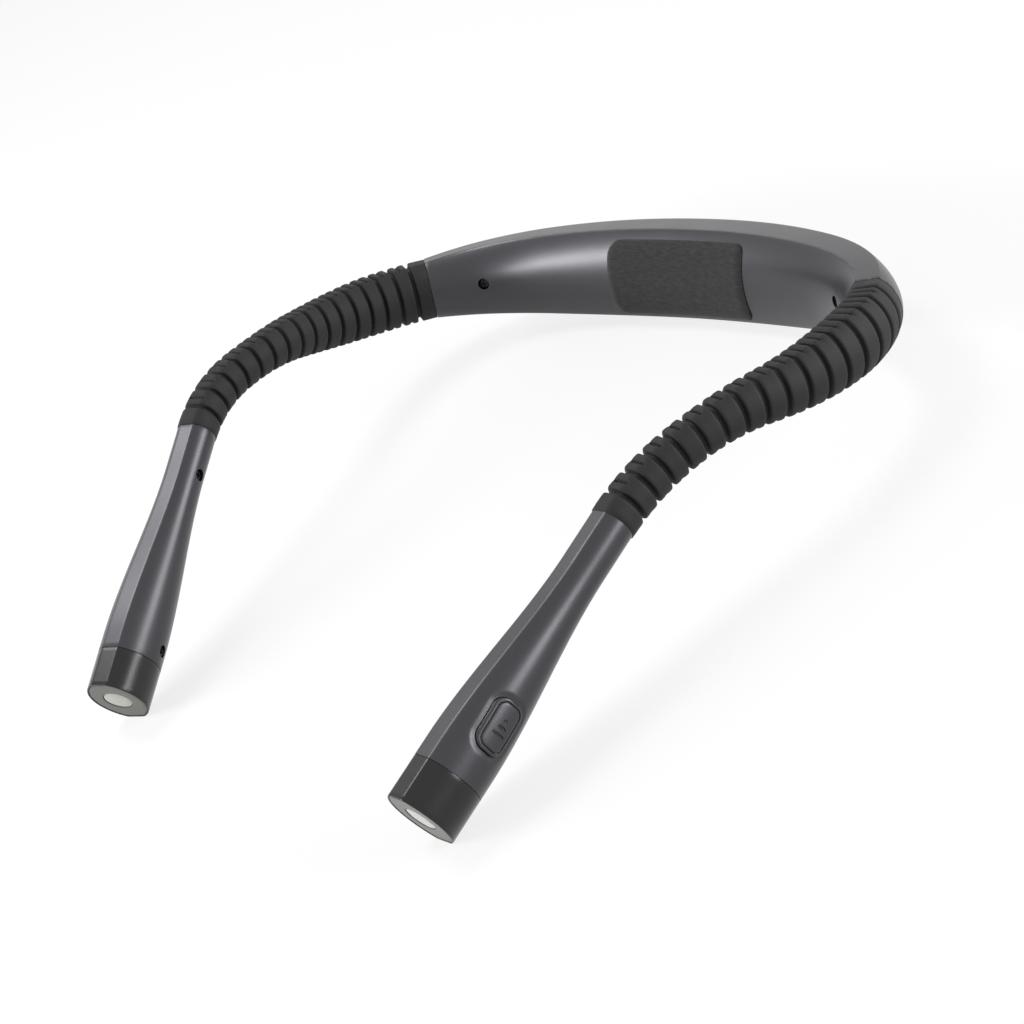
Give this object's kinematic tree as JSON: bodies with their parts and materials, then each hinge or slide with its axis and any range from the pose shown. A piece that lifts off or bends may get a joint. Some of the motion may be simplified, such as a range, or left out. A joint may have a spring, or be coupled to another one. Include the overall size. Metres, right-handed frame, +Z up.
{
  "type": "neck reading light",
  "caption": "Neck reading light: a curved battery housing worn behind the neck, with ribbed flexible arms that carry slim LED heads with push buttons.",
  "frame": {"origin": "on the table, below the middle of the overall box: the light lies on the two bezels and on the rear bottom edge of the housing", "axes": "+X to the light's own right, the wearer's right; -Y forward, where the arms reach; +Z up"},
  "size_m": [0.2226, 0.2308, 0.053],
  "materials": {
    "housing": "satin dark metallic grey",
    "rubber": "matte black",
    "pad": "fine textured dark grey",
    "bezel": "satin black",
    "face": "satin mid grey",
    "lens": "clear, pale from the LED behind it",
    "steel": "bare",
    "screw": "black",
    "board": "green solder mask",
    "battery": "foil pouch",
    "lead": "red insulation"
  },
  "bodies": {
    "housing": {"housing_inner_shell": "housing", "housing_outer_shell": "housing", "left_housing_screw": "screw", "right_housing_screw": "screw", "neck_pad": "pad", "battery_cell": "battery", "charge_board": "board", "usb_c_socket": "steel", "charge_light_pipe": "lens", "left_lead": "lead", "right_lead": "lead", "right_sleeve_1": "rubber", "right_gooseneck_1": "steel", "left_sleeve_1": "rubber", "left_gooseneck_1": "steel"},
    "right_arm_2": {"right_sleeve_2": "rubber", "right_gooseneck_2": "steel"},
    "right_arm_3": {"right_sleeve_3": "rubber", "right_gooseneck_3": "steel"},
    "right_arm_4": {"right_sleeve_4": "rubber", "right_gooseneck_4": "steel"},
    "right_arm_5": {"right_sleeve_5": "rubber", "right_gooseneck_5": "steel"},
    "right_arm_6": {"right_sleeve_6": "rubber", "right_gooseneck_6": "steel"},
    "right_head": {"right_sleeve_7": "rubber", "right_gooseneck_7": "steel", "right_head_inner_shell": "housing", "right_head_outer_shell": "housing", "right_head_rear_screw": "screw", "right_head_front_screw": "screw", "right_bezel": "bezel", "right_reflector": "face", "right_lens": "lens", "right_led_board": "board", "right_switch_board": "board"},
    "right_button": {"right_button": "housing"},
    "left_arm_2": {"left_sleeve_2": "rubber", "left_gooseneck_2": "steel"},
    "left_arm_3": {"left_sleeve_3": "rubber", "left_gooseneck_3": "steel"},
    "left_arm_4": {"left_sleeve_4": "rubber", "left_gooseneck_4": "steel"},
    "left_arm_5": {"left_sleeve_5": "rubber", "left_gooseneck_5": "steel"},
    "left_arm_6": {"left_sleeve_6": "rubber", "left_gooseneck_6": "steel"},
    "left_head": {"left_sleeve_7": "rubber", "left_gooseneck_7": "steel", "left_head_inner_shell": "housing", "left_head_outer_shell": "housing", "left_head_rear_screw": "screw", "left_head_front_screw": "screw", "left_bezel": "bezel", "left_reflector": "face", "left_lens": "lens", "left_led_board": "board", "left_switch_board": "board"},
    "left_button": {"left_button": "housing"}
  },
  "joints": [
    {"name": "right_tilt_1", "type": "hinge", "parent": "housing", "child": "right_arm_2", "pos_m": [0.10128, 0.06737, 0.02659], "axis": [-0.9358, -0.3369, 0.1034], "range_deg": [-15, 15]},
    {"name": "right_swing_1", "type": "hinge", "parent": "right_arm_2", "child": "right_arm_3", "pos_m": [0.1041, 0.04864, 0.03002], "axis": [-0.0032, 0.1679, 0.9858], "range_deg": [-10, 15]},
    {"name": "right_tilt_2", "type": "hinge", "parent": "right_arm_3", "child": "right_arm_4", "pos_m": [0.10198, 0.02982, 0.03397], "axis": [-0.9797, 0.1913, -0.0599], "range_deg": [-15, 15]},
    {"name": "right_swing_2", "type": "hinge", "parent": "right_arm_4", "child": "right_arm_5", "pos_m": [0.09718, 0.01138, 0.03728], "axis": [-0.064, 0.0834, 0.9945], "range_deg": [-10, 15]},
    {"name": "right_tilt_3", "type": "hinge", "parent": "right_arm_5", "child": "right_arm_6", "pos_m": [0.09345, -0.00098, 0.03712], "axis": [-0.9531, 0.289, -0.0902], "range_deg": [-15, 15]},
    {"name": "right_swing_3", "type": "hinge", "parent": "right_arm_6", "child": "right_head", "pos_m": [0.09059, -0.01346, 0.03553], "axis": [-0.082, -0.1559, 0.9844], "range_deg": [-10, 15]},
    {"name": "right_button_press", "type": "slide", "parent": "right_head", "child": "right_button", "axis": [-0.9981, 0.0584, -0.0189], "range_m": [0, 0.0005], "stiffness_N_per_m": 600, "springref_m": -0.001},
    {"name": "left_tilt_1", "type": "hinge", "parent": "housing", "child": "left_arm_2", "pos_m": [-0.10091, 0.06756, 0.02688], "axis": [-0.9301, 0.3506, -0.1092], "range_deg": [-15, 15]},
    {"name": "left_swing_1", "type": "hinge", "parent": "left_arm_2", "child": "left_arm_3", "pos_m": [-0.10422, 0.04953, 0.03279], "axis": [0.0006, -0.3231, -0.9464], "range_deg": [-10, 15]},
    {"name": "left_tilt_2", "type": "hinge", "parent": "left_arm_3", "child": "left_arm_4", "pos_m": [-0.10212, 0.03148, 0.03938], "axis": [-0.9751, -0.2119, 0.0648], "range_deg": [-15, 15]},
    {"name": "left_swing_2", "type": "hinge", "parent": "left_arm_4", "child": "left_arm_5", "pos_m": [-0.09799, 0.01345, 0.04504], "axis": [-0.0142, -0.2038, -0.9789], "range_deg": [-10, 15]},
    {"name": "left_tilt_3", "type": "hinge", "parent": "left_arm_5", "child": "left_arm_6", "pos_m": [-0.0965, 0.00074, 0.04675], "axis": [-0.9944, -0.1008, 0.0304], "range_deg": [-15, 15]},
    {"name": "left_swing_3", "type": "hinge", "parent": "left_arm_6", "child": "left_head", "pos_m": [-0.09436, -0.01195, 0.04606], "axis": [-0.1082, 0.1402, -0.9842], "range_deg": [-10, 15]},
    {"name": "left_button_press", "type": "slide", "parent": "left_head", "child": "left_button", "axis": [0.924, 0.3655, -0.1123], "range_m": [0, 0.0005], "stiffness_N_per_m": 600, "springref_m": -0.001}
  ],
  "couplings": [
    {"joint": "right_tilt_2", "follows": "right_tilt_1", "ratio": 1},
    {"joint": "right_swing_2", "follows": "right_swing_1", "ratio": 1},
    {"joint": "right_tilt_3", "follows": "right_tilt_1", "ratio": 1},
    {"joint": "right_swing_3", "follows": "right_swing_1", "ratio": 1},
    {"joint": "left_tilt_2", "follows": "left_tilt_1", "ratio": 1},
    {"joint": "left_swing_2", "follows": "left_swing_1", "ratio": 1},
    {"joint": "left_tilt_3", "follows": "left_tilt_1", "ratio": 1},
    {"joint": "left_swing_3", "follows": "left_swing_1", "ratio": 1}
  ]
}
